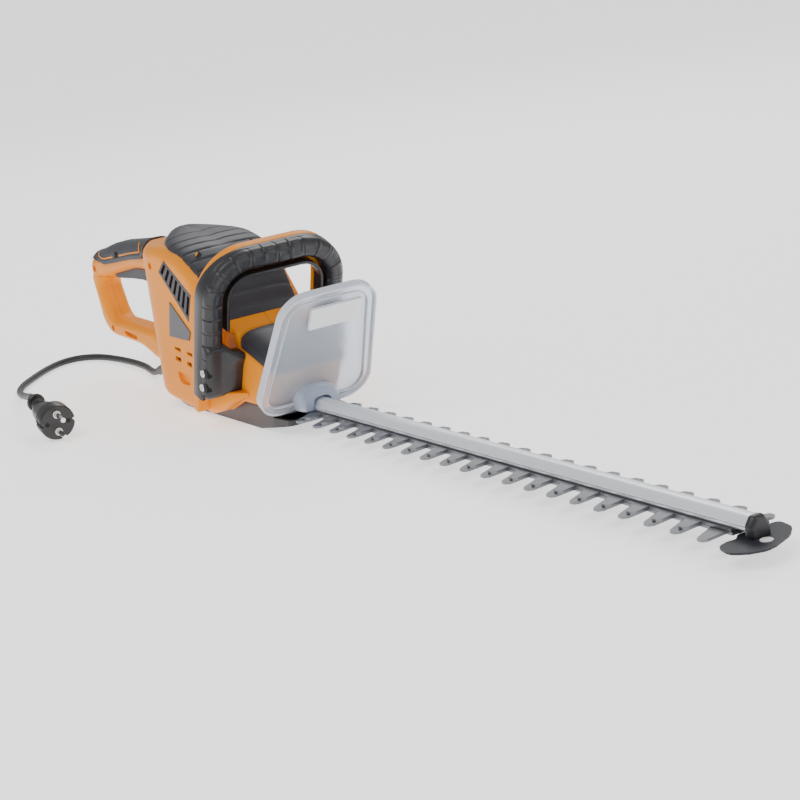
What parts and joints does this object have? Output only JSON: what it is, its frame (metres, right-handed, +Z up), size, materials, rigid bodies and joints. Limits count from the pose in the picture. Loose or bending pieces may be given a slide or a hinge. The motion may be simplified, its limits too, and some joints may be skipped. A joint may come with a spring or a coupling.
{
  "type": "hedge trimmer",
  "caption": "Corded hedge trimmer with a long double-sided reciprocating blade, D-shaped rear handle, arched front handle, clear hand guard and short mains lead",
  "frame": {"origin": "middle of the tool's box in plan, on the plane the base cover stands on; cord and plug left out of the box", "axes": "+X along the blades toward the tip, +Y to the user's left, +Z up"},
  "size_m": [1.1635, 0.2621, 0.1727],
  "materials": {
    "orange_plastic": "satin moulded",
    "dark_plastic": "satin moulded",
    "black_plastic": "satin moulded",
    "grip_rubber": "matt soft grip",
    "clear_plastic": "frosted clear",
    "label_film": "plain printed film, no lettering",
    "ground_steel": "ground",
    "satin_aluminium": "satin extrusion",
    "painted_steel": "black paint",
    "die_casting": "die cast",
    "copper": "copper bars",
    "lamination": "stacked laminations",
    "carbon": "pressed carbon",
    "white_nylon": "moulded nylon",
    "plated_brass": "nickel plated",
    "cord_rubber": "cord sheath"
  },
  "bodies": {
    "tool": {"housing_right": "orange_plastic", "housing_left": "orange_plastic", "motor_cover": "dark_plastic", "gear_cover": "dark_plastic", "base_cover": "black_plastic", "base_plate": "ground_steel", "front_handle_back": "orange_plastic", "front_handle_grip": "black_plastic", "handle_screw_right_upper": "ground_steel", "handle_screw_right_lower": "ground_steel", "handle_screw_left_upper": "ground_steel", "handle_screw_left_lower": "ground_steel", "rear_grip": "grip_rubber", "rear_switch": "black_plastic", "vent_grille_right": "dark_plastic", "vent_grille_left": "dark_plastic", "rating_plate": "label_film", "hand_guard": "clear_plastic", "guard_foot": "clear_plastic", "blade_bar": "satin_aluminium", "bar_end_cap": "black_plastic", "tip_plate": "painted_steel", "tip_rivet": "satin_aluminium", "guide_bolt_1": "ground_steel", "guide_bolt_2": "ground_steel", "guide_bolt_3": "ground_steel", "guide_bolt_4": "ground_steel", "gearbox_housing": "die_casting", "gear_bushing": "plated_brass", "rotor_bearing_lower": "ground_steel", "rotor_bearing_upper": "ground_steel", "bearing_bracket": "die_casting", "motor_stator": "lamination", "brush_holder_right": "plated_brass", "brush_holder_left": "plated_brass", "carbon_brush_right": "carbon", "carbon_brush_left": "carbon", "front_switch": "black_plastic", "capacitor": "satin_aluminium", "cable_clamp": "black_plastic", "strain_relief": "black_plastic", "power_cord": "cord_rubber", "plug_body": "black_plastic", "plug_pin_lower": "plated_brass", "plug_pin_upper": "plated_brass"},
    "rotor": {"rotor_shaft": "ground_steel", "motor_pinion": "ground_steel", "cooling_fan": "white_nylon", "armature_core": "lamination", "commutator": "copper"},
    "gear": {"drive_gear": "ground_steel", "eccentric_shaft": "ground_steel"},
    "upper_cutter": {"upper_blade": "ground_steel"},
    "lower_cutter": {"lower_blade": "ground_steel"},
    "rear_trigger": {"trigger": "grip_rubber"},
    "front_lever": {"front_switch_lever": "grip_rubber"}
  },
  "joints": [
    {"name": "rotor_spin", "type": "hinge", "parent": "tool", "child": "rotor", "pos_m": [-0.268, 0, 0.08], "axis": [0, 0, 1], "continuous": true},
    {"name": "gear_spin", "type": "hinge", "parent": "tool", "child": "gear", "pos_m": [-0.235, 0, 0.031], "axis": [0, 0, 1], "continuous": true},
    {"name": "upper_blade_slide", "type": "slide", "parent": "tool", "child": "upper_cutter", "axis": [1, 0, 0], "range_m": [-0.009, 0.006]},
    {"name": "lower_blade_slide", "type": "slide", "parent": "tool", "child": "lower_cutter", "axis": [1, 0, 0], "range_m": [-0.006, 0.009]},
    {"name": "trigger_pull", "type": "hinge", "parent": "tool", "child": "rear_trigger", "pos_m": [-0.484, 0, 0.111], "axis": [0, -1, 0], "range_deg": [0, 5], "stiffness_Nm_per_rad": 1.5, "springref_deg": -8.59},
    {"name": "front_lever_squeeze", "type": "slide", "parent": "tool", "child": "front_lever", "axis": [0.3387, 0, 0.9409], "range_m": [0, 0.003], "stiffness_N_per_m": 1500, "springref_m": -0.002}
  ],
  "couplings": [
    {"joint": "gear_spin", "follows": "rotor_spin", "ratio": -0.22222},
    {"joint": "lower_blade_slide", "follows": "upper_blade_slide", "ratio": -1}
  ]
}
